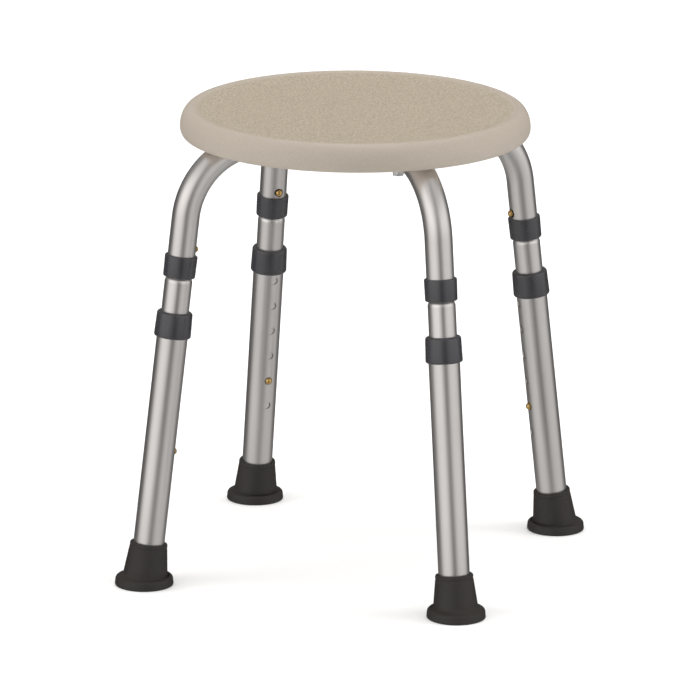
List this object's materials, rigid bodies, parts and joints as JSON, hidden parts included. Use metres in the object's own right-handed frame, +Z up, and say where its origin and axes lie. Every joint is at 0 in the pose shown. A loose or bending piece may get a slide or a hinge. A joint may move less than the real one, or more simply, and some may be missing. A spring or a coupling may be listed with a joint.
{
  "type": "shower stool",
  "caption": "Backless shower stool with a round hollow moulded seat, splayed telescopic aluminium legs, snap buttons and rubber tips.",
  "frame": {"origin": "on the floor, midway between the feet, under the centre of the seat", "axes": "+Z up through the centre of the seat, -Y towards the front legs' side, +X to the right"},
  "size_m": [0.356, 0.356, 0.43],
  "materials": {
    "seat_plastic": "matte, pebble grained",
    "leg_aluminium": "satin anodised",
    "collar_plastic": "satin",
    "tip_rubber": "matte",
    "button_brass": "polished",
    "insert_brass": "machined",
    "spring_steel": "satin",
    "fastener_steel": "zinc plated"
  },
  "bodies": {
    "seat_frame": {"seat": "seat_plastic", "upper_cross_tube": "leg_aluminium", "lower_cross_tube": "leg_aluminium", "seat_screws": "fastener_steel", "saddle_washers": "fastener_steel", "centre_washer": "fastener_steel", "thread_inserts": "insert_brass", "front_left_upper_collar": "collar_plastic", "front_right_upper_collar": "collar_plastic", "rear_right_upper_collar": "collar_plastic", "rear_left_upper_collar": "collar_plastic"},
    "front_left_leg": {"front_left_inner_tube": "leg_aluminium", "front_left_upper_clip": "spring_steel", "front_left_lower_clip": "spring_steel"},
    "front_left_foot": {"front_left_outer_tube": "leg_aluminium", "front_left_lower_collar": "collar_plastic", "front_left_rubber_tip": "tip_rubber", "front_left_tip_washer": "fastener_steel"},
    "front_left_upper_snap": {"front_left_upper_button": "button_brass"},
    "front_left_lower_snap": {"front_left_lower_button": "button_brass"},
    "front_right_leg": {"front_right_inner_tube": "leg_aluminium", "front_right_upper_clip": "spring_steel", "front_right_lower_clip": "spring_steel"},
    "front_right_foot": {"front_right_outer_tube": "leg_aluminium", "front_right_lower_collar": "collar_plastic", "front_right_rubber_tip": "tip_rubber", "front_right_tip_washer": "fastener_steel"},
    "front_right_upper_snap": {"front_right_upper_button": "button_brass"},
    "front_right_lower_snap": {"front_right_lower_button": "button_brass"},
    "rear_right_leg": {"rear_right_inner_tube": "leg_aluminium", "rear_right_upper_clip": "spring_steel", "rear_right_lower_clip": "spring_steel"},
    "rear_right_foot": {"rear_right_outer_tube": "leg_aluminium", "rear_right_lower_collar": "collar_plastic", "rear_right_rubber_tip": "tip_rubber", "rear_right_tip_washer": "fastener_steel"},
    "rear_right_upper_snap": {"rear_right_upper_button": "button_brass"},
    "rear_right_lower_snap": {"rear_right_lower_button": "button_brass"},
    "rear_left_leg": {"rear_left_inner_tube": "leg_aluminium", "rear_left_upper_clip": "spring_steel", "rear_left_lower_clip": "spring_steel"},
    "rear_left_foot": {"rear_left_outer_tube": "leg_aluminium", "rear_left_lower_collar": "collar_plastic", "rear_left_rubber_tip": "tip_rubber", "rear_left_tip_washer": "fastener_steel"},
    "rear_left_upper_snap": {"rear_left_upper_button": "button_brass"},
    "rear_left_lower_snap": {"rear_left_lower_button": "button_brass"}
  },
  "joints": [
    {"name": "front_left_leg_release", "type": "slide", "parent": "seat_frame", "child": "front_left_leg", "axis": [-0.0862, -0.0862, -0.9925], "range_m": [0, 0.06], "deforming": ["front_left_upper_clip", "front_left_upper_button"]},
    {"name": "front_left_height_slide", "type": "slide", "parent": "front_left_leg", "child": "front_left_foot", "axis": [-0.0862, -0.0862, -0.9925], "range_m": [-0.0254, 0.1016], "deforming": ["front_left_lower_clip", "front_left_lower_button"]},
    {"name": "front_left_upper_button_press", "type": "slide", "parent": "front_left_leg", "child": "front_left_upper_snap", "axis": [-0.7018, -0.7018, 0.1219], "range_m": [0, 0.0045], "stiffness_N_per_m": 2500, "springref_m": -0.003, "deforming": ["front_left_upper_clip"]},
    {"name": "front_left_lower_button_press", "type": "slide", "parent": "front_left_leg", "child": "front_left_lower_snap", "axis": [-0.7018, -0.7018, 0.1219], "range_m": [0, 0.0045], "stiffness_N_per_m": 2500, "springref_m": -0.003, "deforming": ["front_left_lower_clip"]},
    {"name": "front_right_leg_release", "type": "slide", "parent": "seat_frame", "child": "front_right_leg", "axis": [0.0862, -0.0862, -0.9925], "range_m": [0, 0.06], "deforming": ["front_right_upper_clip", "front_right_upper_button"]},
    {"name": "front_right_height_slide", "type": "slide", "parent": "front_right_leg", "child": "front_right_foot", "axis": [0.0862, -0.0862, -0.9925], "range_m": [-0.0254, 0.1016], "deforming": ["front_right_lower_clip", "front_right_lower_button"]},
    {"name": "front_right_upper_button_press", "type": "slide", "parent": "front_right_leg", "child": "front_right_upper_snap", "axis": [0.7018, -0.7018, 0.1219], "range_m": [0, 0.0045], "stiffness_N_per_m": 2500, "springref_m": -0.003, "deforming": ["front_right_upper_clip"]},
    {"name": "front_right_lower_button_press", "type": "slide", "parent": "front_right_leg", "child": "front_right_lower_snap", "axis": [0.7018, -0.7018, 0.1219], "range_m": [0, 0.0045], "stiffness_N_per_m": 2500, "springref_m": -0.003, "deforming": ["front_right_lower_clip"]},
    {"name": "rear_right_leg_release", "type": "slide", "parent": "seat_frame", "child": "rear_right_leg", "axis": [0.0862, 0.0862, -0.9925], "range_m": [0, 0.06], "deforming": ["rear_right_upper_clip", "rear_right_upper_button"]},
    {"name": "rear_right_height_slide", "type": "slide", "parent": "rear_right_leg", "child": "rear_right_foot", "axis": [0.0862, 0.0862, -0.9925], "range_m": [-0.0254, 0.1016], "deforming": ["rear_right_lower_clip", "rear_right_lower_button"]},
    {"name": "rear_right_upper_button_press", "type": "slide", "parent": "rear_right_leg", "child": "rear_right_upper_snap", "axis": [0.7018, 0.7018, 0.1219], "range_m": [0, 0.0045], "stiffness_N_per_m": 2500, "springref_m": -0.003, "deforming": ["rear_right_upper_clip"]},
    {"name": "rear_right_lower_button_press", "type": "slide", "parent": "rear_right_leg", "child": "rear_right_lower_snap", "axis": [0.7018, 0.7018, 0.1219], "range_m": [0, 0.0045], "stiffness_N_per_m": 2500, "springref_m": -0.003, "deforming": ["rear_right_lower_clip"]},
    {"name": "rear_left_leg_release", "type": "slide", "parent": "seat_frame", "child": "rear_left_leg", "axis": [-0.0862, 0.0862, -0.9925], "range_m": [0, 0.06], "deforming": ["rear_left_upper_clip", "rear_left_upper_button"]},
    {"name": "rear_left_height_slide", "type": "slide", "parent": "rear_left_leg", "child": "rear_left_foot", "axis": [-0.0862, 0.0862, -0.9925], "range_m": [-0.0254, 0.1016], "deforming": ["rear_left_lower_clip", "rear_left_lower_button"]},
    {"name": "rear_left_upper_button_press", "type": "slide", "parent": "rear_left_leg", "child": "rear_left_upper_snap", "axis": [-0.7018, 0.7018, 0.1219], "range_m": [0, 0.0045], "stiffness_N_per_m": 2500, "springref_m": -0.003, "deforming": ["rear_left_upper_clip"]},
    {"name": "rear_left_lower_button_press", "type": "slide", "parent": "rear_left_leg", "child": "rear_left_lower_snap", "axis": [-0.7018, 0.7018, 0.1219], "range_m": [0, 0.0045], "stiffness_N_per_m": 2500, "springref_m": -0.003, "deforming": ["rear_left_lower_clip"]}
  ]
}
